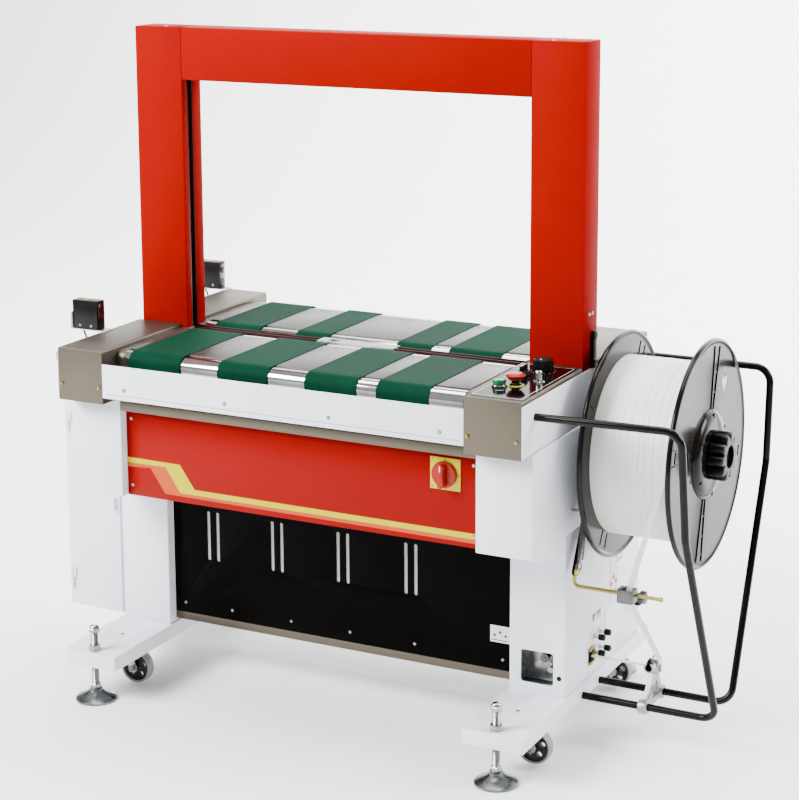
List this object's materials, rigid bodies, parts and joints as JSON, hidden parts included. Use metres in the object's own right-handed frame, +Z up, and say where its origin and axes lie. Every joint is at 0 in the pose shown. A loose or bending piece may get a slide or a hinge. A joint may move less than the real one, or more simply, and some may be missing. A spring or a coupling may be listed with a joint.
{
  "type": "arch strapping machine",
  "caption": "Arch strapping machine with a powered belt table, side strap reel with guard tubes, control panel, casters and levelling feet.",
  "frame": {"origin": "bottom centre of the whole machine's bounding box, on the floor", "axes": "+X towards the strap reel, +Y from the operator's front side to the back, +Z up"},
  "size_m": [1.567, 0.772, 1.4834],
  "materials": {
    "white_paint": "semi-gloss powder coat",
    "red_paint": "gloss powder coat",
    "black_paint": "gloss powder coat",
    "stainless": "brushed",
    "steel": "machined",
    "zinc": "galvanised",
    "yellow_zinc": "zinc yellow passivated",
    "dark_iron": "dark cast",
    "belt_green": "matt ribbed belt",
    "chrome": "polished",
    "aluminium": "cast",
    "track_red": "satin",
    "reel_plastic": "glossy",
    "strap": "satin polypropylene",
    "black_plastic": "glossy",
    "red_plastic": "glossy",
    "green_plastic": "lit lens",
    "yellow_plastic": "glossy",
    "spring_steel": "bright",
    "motor_grey": "satin"
  },
  "bodies": {
    "machine": {"foot_channels": "white_paint", "left_leg": "white_paint", "right_leg": "white_paint", "inner_frame": "steel", "body_panels": "red_paint", "shoulder_housings": "white_paint", "steel_covers": "stainless", "control_cover": "stainless", "table_guards": "white_paint", "arch_posts": "red_paint", "arch_beam": "red_paint", "strap_track": "track_red", "table_plates": "stainless", "conveyor_belts": "belt_green", "head_frame": "aluminium", "inlet_fittings": "zinc", "electrical_units": "motor_grey", "electrical_cabinet": "white_paint", "reel_spindle": "steel", "guard_tubes": "black_paint", "guide_bracket": "aluminium", "strap_run": "strap", "switch_plate": "yellow_plastic", "photo_sensors": "black_plastic", "machine_screws": "zinc"},
    "front_nose_roller": {"front_nose_roller": "chrome"},
    "front_inner_roller": {"front_inner_roller": "chrome"},
    "rear_inner_roller": {"rear_inner_roller": "chrome"},
    "rear_nose_roller": {"rear_nose_roller": "chrome"},
    "head_cam_shaft": {"head_cam_shaft": "steel"},
    "head_gripper": {"head_gripper": "steel"},
    "heater_arm": {"heater_arm": "steel"},
    "prefeed_drive_roller": {"prefeed_drive_roller": "steel"},
    "prefeed_pinch_roller": {"prefeed_pinch_roller": "steel"},
    "cabinet_door": {"cabinet_door": "white_paint"},
    "reel_knob": {"reel_knob": "black_plastic"},
    "guide_roller": {"guide_roller": "chrome"},
    "switch_handle": {"switch_handle": "red_plastic"},
    "start_button": {"start_button": "green_plastic"},
    "stop_button": {"stop_button": "red_plastic"},
    "mode_selector": {"mode_selector": "black_plastic"},
    "reset_key": {"reset_key": "chrome"},
    "tension_dial": {"tension_dial": "black_plastic"},
    "reel": {"reel_inner_flange": "reel_plastic", "reel_outer_flange": "reel_plastic", "strap_coil": "strap"},
    "dancer": {"dancer_arm": "yellow_zinc", "dancer_spring": "spring_steel"},
    "left_front_levelling_foot": {"left_front_levelling_foot": "zinc"},
    "left_front_caster_fork": {"left_front_caster_fork": "dark_iron"},
    "left_front_caster_wheel": {"left_front_caster_wheel": "dark_iron"},
    "right_front_levelling_foot": {"right_front_levelling_foot": "zinc"},
    "right_front_caster_fork": {"right_front_caster_fork": "dark_iron"},
    "right_front_caster_wheel": {"right_front_caster_wheel": "dark_iron"},
    "left_rear_levelling_foot": {"left_rear_levelling_foot": "zinc"},
    "left_rear_caster_fork": {"left_rear_caster_fork": "dark_iron"},
    "left_rear_caster_wheel": {"left_rear_caster_wheel": "dark_iron"},
    "right_rear_levelling_foot": {"right_rear_levelling_foot": "zinc"},
    "right_rear_caster_fork": {"right_rear_caster_fork": "dark_iron"},
    "right_rear_caster_wheel": {"right_rear_caster_wheel": "dark_iron"}
  },
  "joints": [
    {"name": "front_nose_roller_spin", "type": "hinge", "parent": "machine", "child": "front_nose_roller", "pos_m": [-0.0795, -0.2807, 0.775], "axis": [1, 0, 0], "continuous": true},
    {"name": "front_inner_roller_spin", "type": "hinge", "parent": "machine", "child": "front_inner_roller", "pos_m": [-0.0795, -0.0453, 0.775], "axis": [1, 0, 0], "continuous": true},
    {"name": "rear_inner_roller_spin", "type": "hinge", "parent": "machine", "child": "rear_inner_roller", "pos_m": [-0.0795, 0.0453, 0.775], "axis": [1, 0, 0], "continuous": true},
    {"name": "rear_nose_roller_spin", "type": "hinge", "parent": "machine", "child": "rear_nose_roller", "pos_m": [-0.0795, 0.2807, 0.775], "axis": [1, 0, 0], "continuous": true},
    {"name": "cam_shaft_spin", "type": "hinge", "parent": "machine", "child": "head_cam_shaft", "pos_m": [-0.0795, 0, 0.67], "axis": [0, 1, 0], "continuous": true},
    {"name": "gripper_lift", "type": "slide", "parent": "machine", "child": "head_gripper", "axis": [0, 0, 1], "range_m": [-0.004, 0.012], "stiffness_N_per_m": 800},
    {"name": "heater_swing", "type": "hinge", "parent": "machine", "child": "heater_arm", "pos_m": [-0.0175, 0, 0.66], "axis": [0, 1, 0], "range_deg": [-12, 12], "stiffness_Nm_per_rad": 2},
    {"name": "prefeed_drive_spin", "type": "hinge", "parent": "machine", "child": "prefeed_drive_roller", "pos_m": [0.4175, 0, 0.186], "axis": [0, 1, 0], "continuous": true},
    {"name": "prefeed_pinch_spin", "type": "hinge", "parent": "machine", "child": "prefeed_pinch_roller", "pos_m": [0.4385, 0, 0.186], "axis": [0, 1, 0], "continuous": true},
    {"name": "door_swing", "type": "hinge", "parent": "machine", "child": "cabinet_door", "pos_m": [-0.7735, -0.137, 0.4], "axis": [0, 0, -1], "range_deg": [0, 110]},
    {"name": "reel_spin", "type": "hinge", "parent": "machine", "child": "reel", "pos_m": [0.6205, 0.062, 0.627], "axis": [1, 0, 0], "continuous": true},
    {"name": "knob_turn", "type": "hinge", "parent": "reel", "child": "reel_knob", "pos_m": [0.7205, 0.062, 0.627], "axis": [1, 0, 0], "range_deg": [-360, 360]},
    {"name": "dancer_swing", "type": "hinge", "parent": "machine", "child": "dancer", "pos_m": [0.4865, -0.02, 0.585], "axis": [1, 0, 0], "range_deg": [0, 22], "stiffness_Nm_per_rad": 25, "deforming": ["dancer_spring"]},
    {"name": "guide_roller_spin", "type": "hinge", "parent": "machine", "child": "guide_roller", "pos_m": [0.6205, 0.017, 0.17], "axis": [0, 1, 0], "continuous": true},
    {"name": "main_switch_turn", "type": "hinge", "parent": "machine", "child": "switch_handle", "pos_m": [0.2715, -0.288, 0.62], "axis": [0, 1, 0], "range_deg": [0, 90]},
    {"name": "start_press", "type": "slide", "parent": "machine", "child": "start_button", "axis": [0, 0, -1], "range_m": [0, 0.003], "stiffness_N_per_m": 900},
    {"name": "stop_press", "type": "slide", "parent": "machine", "child": "stop_button", "axis": [0, 0, -1], "range_m": [0, 0.006]},
    {"name": "mode_turn", "type": "hinge", "parent": "machine", "child": "mode_selector", "pos_m": [0.3845, -0.15, 0.806], "axis": [0, 0, 1], "range_deg": [-45, 45]},
    {"name": "reset_turn", "type": "hinge", "parent": "machine", "child": "reset_key", "pos_m": [0.4325, -0.184, 0.806], "axis": [0, 0, 1], "range_deg": [0, 90]},
    {"name": "tension_turn", "type": "hinge", "parent": "machine", "child": "tension_dial", "pos_m": [0.4045, -0.096, 0.806], "axis": [0, 0, 1], "range_deg": [-135, 135]},
    {"name": "left_front_foot_screw", "type": "slide", "parent": "machine", "child": "left_front_levelling_foot", "axis": [0, 0, 1], "range_m": [-0.02, 0.012]},
    {"name": "left_front_caster_swivel", "type": "hinge", "parent": "machine", "child": "left_front_caster_fork", "pos_m": [-0.571, -0.23, 0.115], "axis": [0, 0, 1], "continuous": true},
    {"name": "left_front_wheel_spin", "type": "hinge", "parent": "left_front_caster_fork", "child": "left_front_caster_wheel", "pos_m": [-0.533, -0.23, 0.046], "axis": [0, 1, 0], "continuous": true},
    {"name": "right_front_foot_screw", "type": "slide", "parent": "machine", "child": "right_front_levelling_foot", "axis": [0, 0, 1], "range_m": [-0.02, 0.012]},
    {"name": "right_front_caster_swivel", "type": "hinge", "parent": "machine", "child": "right_front_caster_fork", "pos_m": [0.412, -0.23, 0.115], "axis": [0, 0, 1], "continuous": true},
    {"name": "right_front_wheel_spin", "type": "hinge", "parent": "right_front_caster_fork", "child": "right_front_caster_wheel", "pos_m": [0.45, -0.23, 0.046], "axis": [0, 1, 0], "continuous": true},
    {"name": "left_rear_foot_screw", "type": "slide", "parent": "machine", "child": "left_rear_levelling_foot", "axis": [0, 0, 1], "range_m": [-0.02, 0.012]},
    {"name": "left_rear_caster_swivel", "type": "hinge", "parent": "machine", "child": "left_rear_caster_fork", "pos_m": [-0.571, 0.23, 0.115], "axis": [0, 0, 1], "continuous": true},
    {"name": "left_rear_wheel_spin", "type": "hinge", "parent": "left_rear_caster_fork", "child": "left_rear_caster_wheel", "pos_m": [-0.533, 0.23, 0.046], "axis": [0, 1, 0], "continuous": true},
    {"name": "right_rear_foot_screw", "type": "slide", "parent": "machine", "child": "right_rear_levelling_foot", "axis": [0, 0, 1], "range_m": [-0.02, 0.012]},
    {"name": "right_rear_caster_swivel", "type": "hinge", "parent": "machine", "child": "right_rear_caster_fork", "pos_m": [0.412, 0.23, 0.115], "axis": [0, 0, 1], "continuous": true},
    {"name": "right_rear_wheel_spin", "type": "hinge", "parent": "right_rear_caster_fork", "child": "right_rear_caster_wheel", "pos_m": [0.45, 0.23, 0.046], "axis": [0, 1, 0], "continuous": true}
  ],
  "couplings": [
    {"joint": "front_nose_roller_spin", "follows": "front_inner_roller_spin", "ratio": 1},
    {"joint": "rear_inner_roller_spin", "follows": "front_inner_roller_spin", "ratio": 1},
    {"joint": "rear_nose_roller_spin", "follows": "front_inner_roller_spin", "ratio": 1},
    {"joint": "prefeed_pinch_spin", "follows": "prefeed_drive_spin", "ratio": -1}
  ]
}
